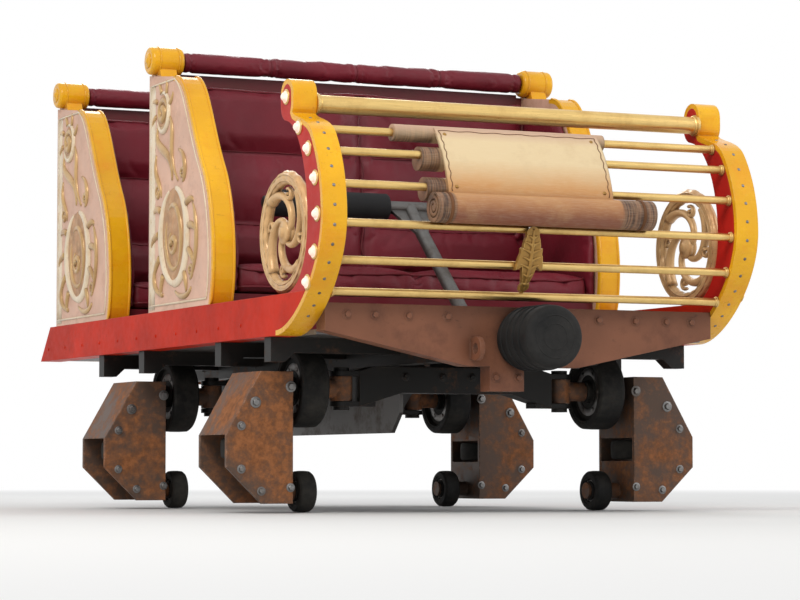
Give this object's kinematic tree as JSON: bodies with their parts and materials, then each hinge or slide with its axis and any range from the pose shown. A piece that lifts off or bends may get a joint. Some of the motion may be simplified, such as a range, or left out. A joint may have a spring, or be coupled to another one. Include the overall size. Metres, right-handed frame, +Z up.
{
  "type": "roller coaster car",
  "caption": "Open fairground roller coaster car in two rows, with curved hoops, brass grille bars, carved seat sides, a blank scroll sign and swivelling wheel carriers.",
  "frame": {"origin": "middle of the car's bounding box on the floor that it parks on", "axes": "+Z up, -Y the way the car travels, +X its left side"},
  "size_m": [1.268, 2.1, 1.199],
  "materials": {
    "red_paint": "gloss",
    "dark_red_paint": "gloss",
    "yellow_paint": "gloss",
    "carved_cream": "satin",
    "gold_paint": "satin",
    "polished_brass": "polished",
    "parchment_paint": "satin",
    "bronze_paint": "satin",
    "lamp_glass": "warm white",
    "brown_paint": "satin",
    "frame_steel": "satin",
    "floor_plate": "chequered",
    "rusty_steel": "worn",
    "buffer_rubber": "matt",
    "wheel_tread": "matt",
    "maroon_leather": "satin",
    "maroon_shell": "satin",
    "bare_steel": "brushed",
    "pad_foam": "matt"
  },
  "bodies": {
    "car": {"chassis_frame": "frame_steel", "outriggers": "frame_steel", "floor_pan": "floor_plate", "front_beam": "brown_paint", "rear_beam": "brown_paint", "buffer": "buffer_rubber", "sill_left": "red_paint", "sill_right": "red_paint", "hoop_left": "dark_red_paint", "hoop_right": "dark_red_paint", "hoop_rims": "yellow_paint", "hoop_lamps": "lamp_glass", "fretwork_left": "gold_paint", "fretwork_right": "gold_paint", "grille_bars": "polished_brass", "top_tube": "polished_brass", "sign_scroll": "parchment_paint", "sign_ornament": "bronze_paint", "panel_front_left": "carved_cream", "panel_front_right": "carved_cream", "panel_rear_left": "carved_cream", "panel_rear_right": "carved_cream", "edge_strips_front": "yellow_paint", "edge_strips_rear": "yellow_paint", "roll_caps_front": "yellow_paint", "roll_caps_rear": "yellow_paint", "seat_shell_front": "maroon_shell", "seat_shell_rear": "maroon_shell", "cushion_front": "maroon_leather", "cushion_rear": "maroon_leather", "backrest_front": "maroon_leather", "backrest_rear": "maroon_leather", "side_pads_front": "maroon_leather", "side_pads_rear": "maroon_leather", "head_roll_front": "maroon_leather", "head_roll_rear": "maroon_leather", "brake_fin": "bare_steel"},
    "carrier_front_left": {"carrier_front_left": "rusty_steel"},
    "run_wheel_front_left": {"run_wheel_front_left": "wheel_tread"},
    "guide_wheel_front_left": {"guide_wheel_front_left": "wheel_tread"},
    "upstop_wheel_front_left": {"upstop_wheel_front_left": "wheel_tread"},
    "carrier_front_right": {"carrier_front_right": "rusty_steel"},
    "run_wheel_front_right": {"run_wheel_front_right": "wheel_tread"},
    "guide_wheel_front_right": {"guide_wheel_front_right": "wheel_tread"},
    "upstop_wheel_front_right": {"upstop_wheel_front_right": "wheel_tread"},
    "carrier_rear_left": {"carrier_rear_left": "rusty_steel"},
    "run_wheel_rear_left": {"run_wheel_rear_left": "wheel_tread"},
    "guide_wheel_rear_left": {"guide_wheel_rear_left": "wheel_tread"},
    "upstop_wheel_rear_left": {"upstop_wheel_rear_left": "wheel_tread"},
    "carrier_rear_right": {"carrier_rear_right": "rusty_steel"},
    "run_wheel_rear_right": {"run_wheel_rear_right": "wheel_tread"},
    "guide_wheel_rear_right": {"guide_wheel_rear_right": "wheel_tread"},
    "upstop_wheel_rear_right": {"upstop_wheel_rear_right": "wheel_tread"},
    "lap_bar_front": {"lap_bar_front": "bare_steel", "lap_pads_front": "pad_foam"},
    "lap_bar_rear": {"lap_bar_rear": "bare_steel", "lap_pads_rear": "pad_foam"},
    "chain_dog": {"chain_dog": "bare_steel"},
    "rollback_dog": {"rollback_dog": "bare_steel"}
  },
  "joints": [
    {"name": "swivel_front_left", "type": "hinge", "parent": "car", "child": "carrier_front_left", "pos_m": [0.3, -0.502, 0.299], "axis": [0, 0, 1], "range_deg": [-8, 8]},
    {"name": "run_spin_front_left", "type": "hinge", "parent": "carrier_front_left", "child": "run_wheel_front_left", "pos_m": [0.404, -0.502, 0.299], "axis": [1, 0, 0], "continuous": true},
    {"name": "guide_spin_front_left", "type": "hinge", "parent": "carrier_front_left", "child": "guide_wheel_front_left", "pos_m": [0.533, -0.502, 0.154], "axis": [0, 0, 1], "continuous": true},
    {"name": "upstop_spin_front_left", "type": "hinge", "parent": "carrier_front_left", "child": "upstop_wheel_front_left", "pos_m": [0.404, -0.502, 0.05], "axis": [1, 0, 0], "continuous": true},
    {"name": "swivel_front_right", "type": "hinge", "parent": "car", "child": "carrier_front_right", "pos_m": [-0.3, -0.502, 0.299], "axis": [0, 0, 1], "range_deg": [-8, 8]},
    {"name": "run_spin_front_right", "type": "hinge", "parent": "carrier_front_right", "child": "run_wheel_front_right", "pos_m": [-0.404, -0.502, 0.299], "axis": [1, 0, 0], "continuous": true},
    {"name": "guide_spin_front_right", "type": "hinge", "parent": "carrier_front_right", "child": "guide_wheel_front_right", "pos_m": [-0.533, -0.502, 0.154], "axis": [0, 0, 1], "continuous": true},
    {"name": "upstop_spin_front_right", "type": "hinge", "parent": "carrier_front_right", "child": "upstop_wheel_front_right", "pos_m": [-0.404, -0.502, 0.05], "axis": [1, 0, 0], "continuous": true},
    {"name": "swivel_rear_left", "type": "hinge", "parent": "car", "child": "carrier_rear_left", "pos_m": [0.3, 0.37, 0.299], "axis": [0, 0, 1], "range_deg": [-8, 8]},
    {"name": "run_spin_rear_left", "type": "hinge", "parent": "carrier_rear_left", "child": "run_wheel_rear_left", "pos_m": [0.404, 0.37, 0.299], "axis": [1, 0, 0], "continuous": true},
    {"name": "guide_spin_rear_left", "type": "hinge", "parent": "carrier_rear_left", "child": "guide_wheel_rear_left", "pos_m": [0.533, 0.37, 0.154], "axis": [0, 0, 1], "continuous": true},
    {"name": "upstop_spin_rear_left", "type": "hinge", "parent": "carrier_rear_left", "child": "upstop_wheel_rear_left", "pos_m": [0.404, 0.37, 0.05], "axis": [1, 0, 0], "continuous": true},
    {"name": "swivel_rear_right", "type": "hinge", "parent": "car", "child": "carrier_rear_right", "pos_m": [-0.3, 0.37, 0.299], "axis": [0, 0, 1], "range_deg": [-8, 8]},
    {"name": "run_spin_rear_right", "type": "hinge", "parent": "carrier_rear_right", "child": "run_wheel_rear_right", "pos_m": [-0.404, 0.37, 0.299], "axis": [1, 0, 0], "continuous": true},
    {"name": "guide_spin_rear_right", "type": "hinge", "parent": "carrier_rear_right", "child": "guide_wheel_rear_right", "pos_m": [-0.533, 0.37, 0.154], "axis": [0, 0, 1], "continuous": true},
    {"name": "upstop_spin_rear_right", "type": "hinge", "parent": "carrier_rear_right", "child": "upstop_wheel_rear_right", "pos_m": [-0.404, 0.37, 0.05], "axis": [1, 0, 0], "continuous": true},
    {"name": "lap_hinge_front", "type": "hinge", "parent": "car", "child": "lap_bar_front", "pos_m": [0, -0.6, 0.457], "axis": [1, 0, 0], "range_deg": [0, 38]},
    {"name": "lap_hinge_rear", "type": "hinge", "parent": "car", "child": "lap_bar_rear", "pos_m": [0, 0.165, 0.457], "axis": [1, 0, 0], "range_deg": [0, 38]},
    {"name": "chain_dog_hinge", "type": "hinge", "parent": "car", "child": "chain_dog", "pos_m": [0, 0.14, 0.333], "axis": [1, 0, 0], "range_deg": [-12, 12]},
    {"name": "rollback_dog_hinge", "type": "hinge", "parent": "car", "child": "rollback_dog", "pos_m": [0, -0.26, 0.333], "axis": [1, 0, 0], "range_deg": [-12, 12]}
  ]
}
